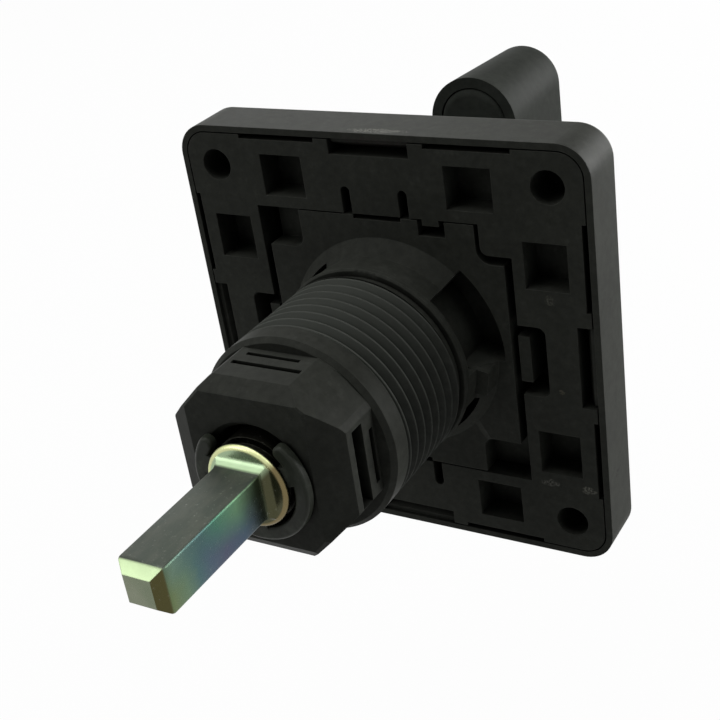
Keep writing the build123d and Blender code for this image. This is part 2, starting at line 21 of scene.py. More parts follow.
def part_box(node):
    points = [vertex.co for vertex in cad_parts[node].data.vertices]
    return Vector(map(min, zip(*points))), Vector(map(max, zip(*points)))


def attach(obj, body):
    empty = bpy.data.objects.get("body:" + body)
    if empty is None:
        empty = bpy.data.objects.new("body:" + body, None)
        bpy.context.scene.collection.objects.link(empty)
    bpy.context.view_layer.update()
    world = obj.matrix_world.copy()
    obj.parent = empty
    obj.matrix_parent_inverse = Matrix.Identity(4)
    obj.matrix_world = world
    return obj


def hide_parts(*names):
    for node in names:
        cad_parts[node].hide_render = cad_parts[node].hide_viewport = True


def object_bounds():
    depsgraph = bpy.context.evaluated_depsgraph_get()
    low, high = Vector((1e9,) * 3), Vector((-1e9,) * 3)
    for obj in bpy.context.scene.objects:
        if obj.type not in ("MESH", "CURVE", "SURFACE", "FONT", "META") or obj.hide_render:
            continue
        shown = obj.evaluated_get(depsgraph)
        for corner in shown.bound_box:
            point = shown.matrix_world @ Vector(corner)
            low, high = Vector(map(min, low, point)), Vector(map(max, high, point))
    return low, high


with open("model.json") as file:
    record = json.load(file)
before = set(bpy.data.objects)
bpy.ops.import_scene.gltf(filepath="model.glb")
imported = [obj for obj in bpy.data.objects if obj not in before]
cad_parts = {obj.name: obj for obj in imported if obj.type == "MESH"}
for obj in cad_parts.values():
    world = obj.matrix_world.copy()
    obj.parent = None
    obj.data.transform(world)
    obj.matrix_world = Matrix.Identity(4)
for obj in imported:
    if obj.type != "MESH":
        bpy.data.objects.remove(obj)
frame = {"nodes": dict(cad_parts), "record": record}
CAD_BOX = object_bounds()
log = logging.getLogger("selector_head")

Pair = tuple[float, float]
Triple = tuple[float, float, float]
Colour = tuple[float, float, float]
Stops = tuple[tuple[float, Colour], ...]

MM = 0.001

# places along the shaft in millimetres, which more than one piece or finish uses
COLLAR = 20.25
SHOULDER = 29.2

# distances in metres within which points are one, and within which a point lies on a plane
WELD = 1e-6
FINE_WELD = 1e-7
ON_PLANE = 1e-7
FINE_ON_PLANE = 1e-8

SHARP_ANGLE = math.radians(12)


# ---- shader maths
class Value:
    """A node's output, with Python's operators as Math nodes."""

    def __init__(self, nodes: "Nodes", socket: bpy.types.NodeSocket) -> None:
        """Keep the tree and the socket."""
        self.nodes = nodes
        self.socket = socket

    def _math(self, operation: str, *inputs: "Value | float") -> "Value":
        """One Math node, from the name of its operation and the values that go in."""
        return self.nodes.node("ShaderNodeMath", {"operation": operation}, dict(enumerate(inputs)))

    def __add__(self, other: "Value | float") -> "Value":
        """self + other."""
        return self._math("ADD", self, other)

    __radd__ = __add__

    def __sub__(self, other: "Value | float") -> "Value":
        """self - other."""
        return self._math("SUBTRACT", self, other)

    def __rsub__(self, other: "Value | float") -> "Value":
        """other - self."""
        return self._math("SUBTRACT", other, self)

    def __mul__(self, other: "Value | float") -> "Value":
        """self * other."""
        return self._math("MULTIPLY", self, other)

    __rmul__ = __mul__

    def __truediv__(self, other: "Value | float") -> "Value":
        """self / other."""
        return self._math("DIVIDE", self, other)

    def __gt__(self, other: "Value | float") -> "Value":
        """1 where self is the larger, and 0 elsewhere."""
        return self._math("GREATER_THAN", self, other)

    def __lt__(self, other: "Value | float") -> "Value":
        """1 where self is the smaller, and 0 elsewhere."""
        return self._math("LESS_THAN", self, other)

    def __neg__(self) -> "Value":
        """-self."""
        return self._math("MULTIPLY", self, -1.0)

    def __abs__(self) -> "Value":
        """The size of self."""
        return self._math("ABSOLUTE", self)

    def root(self) -> "Value":
        """The square root of self."""
        return self._math("SQRT", self)

    def at_least(self, other: "Value | float") -> "Value":
        """The larger of the two."""
        return self._math("MAXIMUM", self, other)

    def sway(self, strength: float) -> "Value":
        """Noise from 0 to 1 as a swing about 0, of a given strength."""
        return (self - 0.5) * strength

    def ramp(self, low: float, high: float) -> "Value":
        """A smooth rise from 0 at low to 1 at high.

        Args:
            low: Where the rise starts.
            high: Where it ends. It may be below low, for a fall.
        """
        start, end, first, last = (low, high, 0.0, 1.0) if low < high else (high, low, 1.0, 0.0)
        return self.nodes.node(
            "ShaderNodeMapRange",
            {"interpolation_type": "SMOOTHSTEP"},
            {"Value": self, "From Min": start, "From Max": end, "To Min": first, "To Max": last},
        )


class Nodes:
    """The node tree of a material or a world, filled node by node."""

    RAYS: ClassVar[tuple[str, ...]] = ("Is Camera Ray", "Is Glossy Ray", "Is Transmission Ray")

    def __init__(self, tree: bpy.types.NodeTree, output: str) -> None:
        """Empty the tree and give it an output.

        Args:
            tree: The node tree.
            output: The type of the output node.
        """
        self.tree = tree
        self.tree.nodes.clear()
        self.output = self.tree.nodes.new(output)

    def node(self, kind: str, settings: dict, inputs: dict, out: int | str = 0) -> Value:
        """Add any node.

        Args:
            kind: The node's type.
            settings: Its properties; a ramp's stops are under "stops".
            inputs: Values, links or constants by socket name or number.
            out: The output to return.

        Returns:
            The chosen output.
        """
        made = self.tree.nodes.new(kind)
        for key, value in settings.items():
            if key == "stops":
                self._set_stops(made.color_ramp, value)
            else:
                setattr(made, key, value)
        for key, value in inputs.items():
            self.feed(made.inputs[key], value)
        return Value(self, made.outputs[out])

    @staticmethod
    def _set_stops(ramp: bpy.types.ColorRamp, stops: Stops) -> None:
        """Give a ramp its stops.

        Args:
            ramp: The ramp, with the stops that it was made with.
            stops: A place and a colour for each stop.
        """
        while len(ramp.elements) > 1:
            ramp.elements.remove(ramp.elements[-1])
        for index, (place, colour) in enumerate(stops):
            element = ramp.elements[0] if index == 0 else ramp.elements.new(place)
            element.position = place
            element.color = (*colour, 1.0)

    def feed(self, socket: bpy.types.NodeSocket, value: "Value | float | tuple") -> None:
        """Link a value to a socket, or set a constant on it.

        Args:
            socket: The input.
            value: A link, a number, a vector or a colour.
        """
        if isinstance(value, Value):
            self.tree.links.new(value.socket, socket)
        elif isinstance(value, tuple) and len(value) == 3 and len(socket.default_value) == 4:
            socket.default_value = (*value, 1.0)
        else:
            socket.default_value = value

    def show(self, surface: Value) -> None:
        """Feed the output with a shader."""
        self.feed(self.output.inputs["Surface"], surface)

    def seen(self) -> Value:
        """1 for rays that reach the camera, also by gloss or glass, and 0 for light on the object."""
        camera, glossy, through = (self.node("ShaderNodeLightPath", {}, {}, ray) for ray in self.RAYS)
        return camera.at_least(glossy).at_least(through)


@dataclass(frozen=True)
class Noise:
    """One noise: the size of its blotches in millimetres, its octaves, their strength and its stretch."""

    size: float
    detail: float = 3.0
    roughness: float = 0.5
    stretch: Triple | None = None


@dataclass(frozen=True)
class Patches:
    """Patches where a noise is high, and the band of the noise over which they fade in."""

    noise: Noise
    band: Pair


class Shader(Nodes):
    """A material's node tree with one Principled shader."""

    EDGE_SAMPLES: ClassVar[int] = 6
    RELIEF_SAMPLES: ClassVar[int] = 4
    OPENING_SAMPLES: ClassVar[int] = 8

    def __init__(self, name: str) -> None:
        """Make the material with its Principled shader.

        Args:
            name: The material's name.
        """
        self.material = bpy.data.materials.new(name)
        self.material.use_nodes = True
        super().__init__(self.material.node_tree, "ShaderNodeOutputMaterial")
        self.principled = self.node("ShaderNodeBsdfPrincipled", {}, {}, "BSDF")
        self.show(self.principled)

    def set(self, **inputs: "Value | float | tuple") -> None:
        """Feed the Principled shader's inputs; an underscore stands for a space."""
        for key, value in inputs.items():
            self.feed(self.principled.socket.node.inputs[key.replace("_", " ")], value)

    def place(self) -> Value:
        """Object coordinates, in metres."""
        return self.node("ShaderNodeTexCoord", {}, {}, "Object")

    def parts(self, vector: Value) -> list[Value]:
        """The three parts of a vector as numbers."""
        return [self.node("ShaderNodeSeparateXYZ", {}, {0: vector}, axis) for axis in "XYZ"]

    def axes(self) -> list[Value]:
        """The three object coordinates, in millimetres."""
        return [part * (1 / MM) for part in self.parts(self.place())]

    def facing(self) -> list[Value]:
        """The three parts of the face's direction, in the object's frame."""
        return self.parts(self.node("ShaderNodeTexCoord", {}, {}, "Normal"))

    def noise(self, noise: Noise) -> Value:
        """Noise on object coordinates.

        Args:
            noise: Its size and character.

        Returns:
            The noise, from 0 to 1 and mostly near a half.
        """
        vector = self.place()
        if noise.stretch:
            vector = self.node("ShaderNodeMapping", {}, {"Vector": vector, "Scale": noise.stretch})
        scale = 1 / (noise.size * MM)
        character = {"Scale": scale, "Detail": noise.detail, "Roughness": noise.roughness}
        return self.node("ShaderNodeTexNoise", {}, {"Vector": vector, **character})

    def patches(self, patches: Patches) -> Value:
        """1 in the patches and 0 between them."""
        return self.noise(patches.noise).ramp(*patches.band)

    def edges(self, radius: float) -> Value:
        """Where the surface turns over an edge.

        Args:
            radius: How far the band reaches from an edge, in millimetres.

        Returns:
            0 on open faces, rising at edges.
        """
        rounded = self.node("ShaderNodeBevel", {"samples": self.EDGE_SAMPLES}, {"Radius": radius * MM})
        plain = self.node("ShaderNodeNewGeometry", {}, {}, "Normal")
        dot = {"operation": "DOT_PRODUCT"}
        return 1 - self.node("ShaderNodeVectorMath", dot, {0: rounded, 1: plain}, "Value")

    def opening(self, reach: float) -> Value:
        """1 on open faces, falling where anything stands within a reach in millimetres."""
        samples = {"samples": self.OPENING_SAMPLES}
        return self.node("ShaderNodeAmbientOcclusion", samples, {"Distance": reach * MM}, "AO")

    def mix(self, share: Value, first: "Value | Colour", second: "Value | Colour") -> Value:
        """A colour mix, where a share of 0 gives the first colour and 1 the second."""
        return self.node("ShaderNodeMix", {"data_type": "RGBA"}, {0: share, 6: first, 7: second}, 2)

    def relief(self, height: Value, depth: float, edge: float) -> Value:
        """Surface relief over slightly rounded edges.

        Args:
            height: The relief, from 0 to 1.
            depth: Its depth in millimetres.
            edge: The radius of the edges in millimetres.

        Returns:
            The normal.
        """
        rounded = self.node("ShaderNodeBevel", {"samples": self.RELIEF_SAMPLES}, {"Radius": edge * MM})
        bump = {"Height": height, "Distance": depth * MM, "Strength": 1.0, "Normal": rounded}
        return self.node("ShaderNodeBump", {}, bump)


# ---- finishes
class Tint(Enum):
    """The ways a finish's colour changes, as a factor and a lift that is added; some of them paint light
    or shade.
    """

    DARK = (0.74, 0.0)
    LIGHT = (1.26, 0.0)
    DUSTY = (1.9, 0.008)
    # settled dust on upward faces, and painted light from above
    SETTLED = (2.2, 0.0)
    # rubbed edges, and the highlight that edges catch
    RUBBED = (2.4, 0.012)
    # painted shade in hollows and gaps
    HIDDEN = (0.12, 0.0)
    STAINED = (0.8, 0.0)
    BLOOMED = (1.8, 0.01)

    def of(self, colour: Colour) -> Colour:
        """The changed colour."""
        factor, lift = self.value
        return tuple(part * factor + lift for part in colour)


@dataclass(frozen=True)
class Scuff:
    """A ragged patch of another colour, such as a nick, a scrape or a spot of dust, in millimetres."""

    CRUMBS: ClassVar[Patches] = Patches(Noise(0.22, 3.0, 0.7), (0.42, 0.60))
    TEAR: ClassVar[float] = 4.0
    BORDER: ClassVar[Pair] = (1.1, 0.3)

    centre: Triple
    reach: Triple
    colour: Colour
    strength: float = 0.8

    def mask(self, s: Shader, ragged: Value) -> Value:
        """Where the patch is.

        Args:
            s: The shader it goes into.
            ragged: Noise that tears its outline.

        Returns:
            The patch's strength, 0 outside it.
        """
        offsets = [
            (axis - middle) / reach for axis, middle, reach in zip(s.axes(), self.centre, self.reach)
        ]
        away = sum(offset * offset for offset in offsets)
        torn = (away + ragged.sway(self.TEAR)).ramp(*self.BORDER)
        return torn * s.patches(self.CRUMBS) * self.strength


@dataclass(frozen=True)
class MouldedPlastic:
    """Glass-filled plastic with a fine grain, cloudy mould marks, rubbed edges with a painted highlight,
    settled dust with painted light on upward faces, and painted shade in hollows.

    Sizes are in millimetres. The shares of dust, of rubbing with its highlight and of settling with its
    top light say how much of each there is. The bands say where the cloud holds dust, a turn counts as an
    edge, a place as clear of the painted shade, a face as looking up, and how the two tones of the colour
    meet.
    """

    CLOUD: ClassVar[Noise] = Noise(6.0, 4.0, 0.6)
    MOTTLE: ClassVar[Noise] = Noise(0.9, 5.0, 0.65)
    SPECKS: ClassVar[Patches] = Patches(Noise(0.30, 3.0, 0.7), (0.66, 0.76))
    DUST: ClassVar[Patches] = Patches(Noise(1.1, 6.0, 0.7), (0.50, 0.72))
    WEAR: ClassVar[Patches] = Patches(Noise(1.7, 4.0, 0.6), (0.30, 0.62))
    DUSTY_CLOUD: ClassVar[Pair] = (0.40, 0.62)
    EDGE_BAND: ClassVar[Pair] = (0.01, 0.16)
    OPEN_BAND: ClassVar[Pair] = (0.12, 0.62)
    UPWARD_BAND: ClassVar[Pair] = (-0.1, 0.8)
    TONE_BAND: ClassVar[Pair] = (0.15, 0.85)

    name: str
    colour: Colour
    roughness: float = 0.50
    grain_size: float = 0.16
    grain_depth: float = 0.010
    gloss: float = 0.03
    dust: float = 0.35
    rub: float = 0.6
    edge: float = 0.12
    cavity: float = 3.0
    settled: float = 0.0
    scuffs: tuple[Scuff, ...] = ()

    def make(self) -> bpy.types.Material:
        """Build the material."""
        s = Shader(self.name)
        grain = s.noise(Noise(self.grain_size, 4.0, 0.6))
        cloud = s.noise(self.CLOUD)
        mottle = s.noise(self.MOTTLE)
        dust = s.patches(self.DUST) * cloud.ramp(*self.DUSTY_CLOUD) * self.dust
        base = self.weathered(s, cloud, mottle, dust)
        for scuff in self.scuffs:
            base = s.mix(scuff.mask(s, mottle), base, scuff.colour)
        # rubbed edges: real wear, and also a painted highlight along the edges
        rubbed_and_highlit = s.edges(self.edge).ramp(*self.EDGE_BAND) * s.patches(self.WEAR) * self.rub
        base = s.mix(rubbed_and_highlit, base, Tint.RUBBED.of(self.colour))
        # painted shade: the colour falls to near black in hollows and gaps, where anything stands within
        # the reach
        unshaded = s.opening(self.cavity).ramp(*self.OPEN_BAND)
        s.set(
            Base_Color=s.mix(unshaded, Tint.HIDDEN.of(self.colour), base),
            Roughness=grain.sway(0.12) + cloud.sway(0.16) + self.roughness + dust * 0.15,
            Specular_IOR_Level=self.gloss,
            Normal=s.relief(grain * 0.7 + mottle * 0.3, self.grain_depth, self.edge),
        )
        return s.material

    def weathered(self, s: Shader, cloud: Value, mottle: Value, dust: Value) -> Value:
        """The plastic's colour, uneven and dusty, and lighter on upward faces for settled dust and for
        painted light from above.

        Args:
            s: The shader.
            cloud: Wide, soft noise.
            mottle: Finer noise.
            dust: Where dust lies.

        Returns:
            The colour.
        """
        tone = (cloud.sway(0.6) + mottle.sway(0.9) + 0.5).ramp(*self.TONE_BAND)
        base = s.mix(tone, Tint.DARK.of(self.colour), Tint.LIGHT.of(self.colour))
        specks = s.patches(self.SPECKS) * 0.5
        base = s.mix(dust.at_least(specks), base, Tint.DUSTY.of(self.colour))
        # upward faces lighter: settled dust, and also painted light that falls from above
        if self.settled:
            upward = s.facing()[2].ramp(*self.UPWARD_BAND) * self.settled
            base = s.mix(upward, base, Tint.SETTLED.of(self.colour))
        return base


@dataclass(frozen=True)
class PassivatedSteel:
    """Zinc-plated steel under a passivation film, whose colour follows its thickness.

    A film's stops stand along the milled sides, from the shoulder at 0 to near the tip at 1. A pair of
    colours holds two that drift into each other, or those of the shoulder's face and its rim. The bands
    say which slant makes a face a side, the end, a chamfer or the shoulder. Lengths are in millimetres.
    The colours follow the way each face looks: the upper chamfers carry a painted highlight and the
    right-hand chamfers painted shade, the shoulder a painted highlight that is brightest at its rim and
    falls into painted shade towards its lower right, and the journal in front of it painted shade.
    """

    DRIFT: ClassVar[Noise] = Noise(5.0, 3.0, 0.55)
    STREAK: ClassVar[Noise] = Noise(0.9, 4.0, 0.6, (1.0, 0.35, 1.0))
    SPECKS: ClassVar[Patches] = Patches(Noise(0.35, 5.0, 0.75), (0.58, 0.74))
    DRAW: ClassVar[Noise] = Noise(0.22, 3.0, 0.6, (1.0, 0.06, 1.0))
    HALVES: ClassVar[Pair] = (0.35, 0.65)
    SIDE_BAND: ClassVar[Pair] = (0.5, 0.9)
    END_BAND: ClassVar[Pair] = (0.80, 0.95)
    CHAMFER_RISE: ClassVar[Pair] = (0.35, 0.60)
    CHAMFER_FALL: ClassVar[Pair] = (0.90, 0.80)
    CHAMFER_SIDE: ClassVar[Pair] = (0.4, 0.6)
    SHOULDER_BAND: ClassVar[Pair] = (0.05, 0.35)
    UPWARD_BAND: ClassVar[Pair] = (0.6, 0.9)

    name: str
    roughness: float = 0.28
    film_length: float = 16.0
    film_border: Pair = (-1.6, 2.0)
    border_drift: float = 2.0
    film_low: Stops = (
        (0.04, (0.045, 0.060, 0.032)),
        (0.16, (0.036, 0.058, 0.068)),
        (0.30, (0.038, 0.070, 0.108)),
        (0.46, (0.060, 0.070, 0.118)),
        (0.58, (0.060, 0.092, 0.132)),
        (0.70, (0.058, 0.122, 0.125)),
        (0.80, (0.110, 0.180, 0.110)),
        (0.92, (0.125, 0.170, 0.075)),
    )
    film_high: Stops = (
        (0.06, (0.035, 0.046, 0.022)),
        (0.20, (0.050, 0.085, 0.048)),
        (0.32, (0.095, 0.190, 0.105)),
        (0.48, (0.056, 0.150, 0.105)),
        (0.62, (0.056, 0.110, 0.108)),
        (0.76, (0.080, 0.140, 0.125)),
        (0.88, (0.115, 0.185, 0.140)),
        (0.96, (0.095, 0.140, 0.085)),
    )
    olive: tuple[Colour, Colour] = ((0.036, 0.044, 0.035), (0.050, 0.056, 0.045))
    end_face: tuple[Colour, Colour] = ((0.150, 0.180, 0.115), (0.200, 0.220, 0.155))
    # painted highlight on the chamfers that lean up, and painted shade on those that lean to the right
    top_chamfer: Colour = (0.340, 0.430, 0.250)
    side_chamfer: Colour = (0.072, 0.066, 0.024)
    # the shoulder's painted highlight and its painted shade, each as face and rim; the rims are lighter
    # still, as a highlight on the rounded edge
    shoulder_lit: tuple[Colour, Colour] = ((0.34, 0.45, 0.28), (0.62, 0.66, 0.34))
    shoulder_dull: tuple[Colour, Colour] = ((0.060, 0.060, 0.030), (0.165, 0.130, 0.060))
    shoulder_front: float = SHOULDER - 0.43
    shoulder_rear: float = SHOULDER + 0.9
    shoulder_rim: Pair = (3.95, 4.15)
    shoulder_shade: Pair = (-0.6, 1.0)
    # painted shade: the journal inside the bore is painted near black
    journal: Colour = (0.010, 0.010, 0.007)
    speck: Colour = (0.30, 0.31, 0.27)
    mark_depth: float = 0.006
    edge: float = 0.15

    def make(self) -> bpy.types.Material:
        """Build the material."""
        s = Shader(self.name)
        drift = s.noise(self.DRIFT)
        streak = s.noise(self.STREAK)
        specks = s.patches(self.SPECKS)
        colour = self.shoulder_over(s, self.milled(s, drift, streak))
        upward = s.facing()[2].ramp(*self.UPWARD_BAND)
        uneven = drift.sway(0.2) + streak.sway(0.16) + specks * 0.12
        s.set(
            Base_Color=s.mix(specks * 0.35, colour, self.speck),
            Metallic=0.9,
            Roughness=uneven + upward * 0.22 + self.roughness,
            Normal=s.relief(s.noise(self.DRAW), self.mark_depth, self.edge),
        )
        return s.material

    def milled(self, s: Shader, drift: Value, streak: Value) -> Value:
        """The colour of the square part: its sides, its end face and the chamfers round that, with a
        painted highlight on the upper chamfers and painted shade on the right-hand ones.

        Args:
            s: The shader.
            drift: Wide, soft noise.
            streak: Noise drawn out along the shaft.

        Returns:
            The colour.
        """
        _, y, z = s.axes()
        nx, ny, nz = s.facing()
        along = (y - SHOULDER) / self.film_length + drift.sway(0.14) + streak.sway(0.07)
        upper = s.node("ShaderNodeValToRGB", {"stops": self.film_high}, {0: along})
        lower = s.node("ShaderNodeValToRGB", {"stops": self.film_low}, {0: along})
        side = s.mix((z + drift.sway(self.border_drift)).ramp(*self.film_border), lower, upper)
        olive = s.mix(streak.ramp(*self.HALVES), *self.olive)
        end = s.mix(drift.ramp(*self.HALVES), *self.end_face)
        colour = s.mix(abs(nx).ramp(*self.SIDE_BAND), olive, side)
        colour = s.mix(ny.ramp(*self.END_BAND), colour, end)
        # painted highlight on the chamfers that lean up, painted shade on those that lean to the right
        leaning = ny.ramp(*self.CHAMFER_RISE) * ny.ramp(*self.CHAMFER_FALL)
        colour = s.mix(leaning * nz.ramp(*self.CHAMFER_SIDE), colour, self.top_chamfer)
        return s.mix(leaning * (-nx).ramp(*self.CHAMFER_SIDE), colour, self.side_chamfer)

    def shoulder_over(self, s: Shader, colour: Value) -> Value:
        """Lay the turned shoulder, painted with a highlight that falls into painted shade, and the
        journal in front of it, painted dark as shade, over a colour.

        Args:
            s: The shader.
            colour: The colour of the square part.

        Returns:
            The colour of the whole shaft.
        """
        x, y, z = s.axes()
        # the rim of the shoulder is painted lighter, as a highlight
        rim = (x * x + z * z).root().ramp(*self.shoulder_rim)
        faces_rear = s.facing()[1].ramp(*self.SHOULDER_BAND)
        turned = (y < self.shoulder_rear) * (y > self.shoulder_front) * faces_rear
        # painted highlight on the shoulder, falling into painted shade towards the lower right
        painted_highlight = s.mix(rim, *self.shoulder_lit)
        painted_shade = s.mix(rim, *self.shoulder_dull)
        colour = s.mix(turned, colour, s.mix((-x - z).ramp(*self.shoulder_shade), painted_highlight, painted_shade))
        # painted shade over the journal in front of the shoulder
        return s.mix(y < self.shoulder_front, colour, self.journal)


@dataclass(frozen=True)
class PlainMetal:
    """A bare or plated metal with fine turning or brushing marks."""

    STAIN: ClassVar[Noise] = Noise(3.0, 4.0, 0.6)
    STAIN_BAND: ClassVar[Pair] = (0.3, 0.75)

    name: str
    colour: Colour
    roughness: float
    stretch: Triple = (1.0, 1.0, 1.0)
    mark_depth: float = 0.004
    edge: float = 0.1

    def make(self) -> bpy.types.Material:
        """Build the material."""
        s = Shader(self.name)
        marks = s.noise(Noise(0.3, 4.0, 0.6, self.stretch))
        stain = s.noise(self.STAIN)
        s.set(
            Base_Color=s.mix(stain.ramp(*self.STAIN_BAND), self.colour, Tint.STAINED.of(self.colour)),
            Metallic=1.0,
            Roughness=marks.sway(0.2) + stain.sway(0.12) + self.roughness,
            Normal=s.relief(marks, self.mark_depth, self.edge),
        )
        return s.material


@dataclass(frozen=True)
class MattSkin:
    """Matt rubber or blackened steel with a faint bloom."""

    GRAIN: ClassVar[Noise] = Noise(0.2, 4.0, 0.6)
    BLOOM: ClassVar[Noise] = Noise(2.4, 5.0, 0.65)
    BLOOM_BAND: ClassVar[Pair] = (0.45, 0.75)

    name: str
    colour: Colour
    roughness: float
    gloss: float = 0.3
    grain_depth: float = 0.006
    edge: float = 0.15

    def make(self) -> bpy.types.Material:
        """Build the material."""
        s = Shader(self.name)
        bloom = s.noise(self.BLOOM)
        s.set(
            Base_Color=s.mix(bloom.ramp(*self.BLOOM_BAND), self.colour, Tint.BLOOMED.of(self.colour)),
            Specular_IOR_Level=self.gloss,
            Roughness=bloom.sway(0.2) + self.roughness,
            Normal=s.relief(s.noise(self.GRAIN), self.grain_depth, self.edge),
        )
        return s.material


class Finish(Enum):
    """The finishes of the head, each under its slot's name in the record, and one for the thread."""

    moulded_black = MouldedPlastic(
        "moulded_black",
        (0.027, 0.0285, 0.0245),
        scuffs=(
            Scuff((-1.0, -0.9, 24.0), (3.4, 0.7, 0.8), (0.16, 0.16, 0.14)),
            Scuff((-0.7, -1.0, 22.9), (4.2, 3.0, 1.0), (0.034, 0.026, 0.026), 0.7),
            Scuff((-17.2, 0.0, -14.9), (1.1, 0.5, 0.5), (0.16, 0.16, 0.14), 0.6),
            Scuff((-21.7, 0.0, -15.0), (0.9, 0.5, 0.5), (0.20, 0.20, 0.17), 0.7),
            Scuff((-18.9, 0.0, 7.4), (0.7, 0.5, 0.6), (0.11, 0.11, 0.09), 0.5),
            Scuff((-19.4, 0.0, -3.2), (0.4, 0.5, 0.3), (0.12, 0.11, 0.08), 0.6),
            Scuff((-24.0, -2.4, -13.7), (0.6, 0.5, 0.5), (0.008, 0.008, 0.008), 0.8),
        ),
    )
    thread_black = MouldedPlastic(
        "thread_black", (0.028, 0.030, 0.0265), grain_size=0.12, dust=0.4, rub=0.8, edge=0.20, settled=1.0
    )
    grip_black = MouldedPlastic(
        "grip_black",
        (0.020, 0.022, 0.019),
        gloss=0.012,
        grain_size=0.10,
        grain_depth=0.004,
        dust=0.15,
        rub=0.25,
    )
    inner_black = MouldedPlastic("inner_black", (0.045, 0.045, 0.046), roughness=0.4, grain_depth=0.003)
    bush_plastic = MouldedPlastic(
        "bush_plastic", (0.70, 0.68, 0.62), roughness=0.4, grain_depth=0.003, dust=0.1
    )
    indicator_white = MouldedPlastic(
        "indicator_white",
        (0.80, 0.80, 0.78),
        roughness=0.3,
        grain_depth=0.002,
        dust=0.1,
        gloss=0.5,
        rub=0.0,
    )
    passivated_steel = PassivatedSteel("passivated_steel")
    spring_steel = PlainMetal("spring_steel", (0.50, 0.51, 0.52), 0.32)
    screw_steel = PlainMetal("screw_steel", (0.66, 0.67, 0.68), 0.28)
    dial_metal = PlainMetal("dial_metal", (0.58, 0.59, 0.60), 0.38, (0.05, 1.0, 1.0), 0.006)
    clip_steel = MattSkin("clip_steel", (0.022, 0.025, 0.019), 0.40, 0.10)
    seal_rubber = MattSkin("seal_rubber", (0.022, 0.022, 0.023), 0.75)


class Paints:
    """Makes each finish's material once."""

    def __init__(self) -> None:
        """Start with none made."""
        self.made: dict[str, bpy.types.Material] = {}

    def of(self, slot: str) -> bpy.types.Material:
        """The material of a finish, which is the same one each time.

        Args:
            slot: The finish's name.
        """
        if slot not in self.made:
            self.made[slot] = Finish[slot].value.make()
        return self.made[slot]

    def dress(self, piece: bpy.types.Object, slot: str) -> None:
        """Give a piece one finish on all its faces."""
        piece.data.materials.clear()
        piece.data.materials.append(self.of(slot))


# ---- steps that the pieces share
def split(
    mesh: bmesh.types.BMesh,
    through: Sequence[float],
    towards: Sequence[float],
    tolerance: float = FINE_ON_PLANE,
    clear: bool = False,
    parts: list | None = None,
) -> list[bmesh.types.BMEdge]:
    """Split a mesh at a plane.

    Args:
        mesh: The mesh.
        through: A point of the plane, in metres.
        towards: The direction that the plane faces.
        tolerance: How near to the plane a point counts as on it, in metres.
        clear: Whether all that lies in front of the plane goes.
        parts: The vertices, edges and faces to split, or None for all.

    Returns:
        The edges that lie in the plane.
    """
    made = bmesh.ops.bisect_plane(
        mesh,
        geom=parts or mesh.verts[:] + mesh.edges[:] + mesh.faces[:],
        dist=tolerance,
        plane_co=through,
        plane_no=towards,
        clear_outer=clear,
    )
    return [edge for edge in made["geom_cut"] if isinstance(edge, bmesh.types.BMEdge)]


def revolve(
    mesh: bmesh.types.BMesh, outline: list[Vector], closed: bool, steps: int, rise: float = 0.0
) -> None:
    """Spin an outline once round the shaft's axis.

    Args:
        mesh: An empty bmesh.
        outline: The outline's points in metres, as distance from the axis and place along it.
        closed: Whether the last point joins the first, and the last step the first step.
        steps: The steps of the turn.
        rise: How far each step moves along the axis, for a helix.
    """
    verts = [mesh.verts.new(point) for point in outline]
    nexts = verts[1:] + verts[:1] if closed else verts[1:]
    for first, second in zip(verts, nexts):
        mesh.edges.new((first, second))
    bmesh.ops.spin(
        mesh,
        geom=mesh.verts[:] + mesh.edges[:],
        cent=(0, 0, 0),
        axis=(0, 1, 0),
        dvec=(0, rise, 0),
        angle=math.tau,
        steps=steps,
        use_merge=closed,
        use_duplicate=False,
    )


def pull_to(vert: bmesh.types.BMVert, away: float) -> None:
    """Move a vertex straight in or out, to a distance from the shaft's axis in metres."""
    scale = away / math.hypot(vert.co.x, vert.co.z)
    vert.co = Vector((vert.co.x * scale, vert.co.y, vert.co.z * scale))


def finish_mesh(mesh: bmesh.types.BMesh, name: str, sharp: float = SHARP_ANGLE) -> bpy.types.Object:
    """Turn a finished bmesh into an object at the origin.

    Args:
        mesh: The bmesh, which is freed.
        name: The object's name.
        sharp: The angle from which an edge stays sharp, in radians.

    Returns:
        The object.
    """
    data = bpy.data.meshes.new(name)
    mesh.to_mesh(data)
    mesh.free()
    data.shade_smooth()
    data.set_sharp_from_angle(angle=sharp)
    piece = bpy.data.objects.new(name, data)
    bpy.context.scene.collection.objects.link(piece)
    return piece


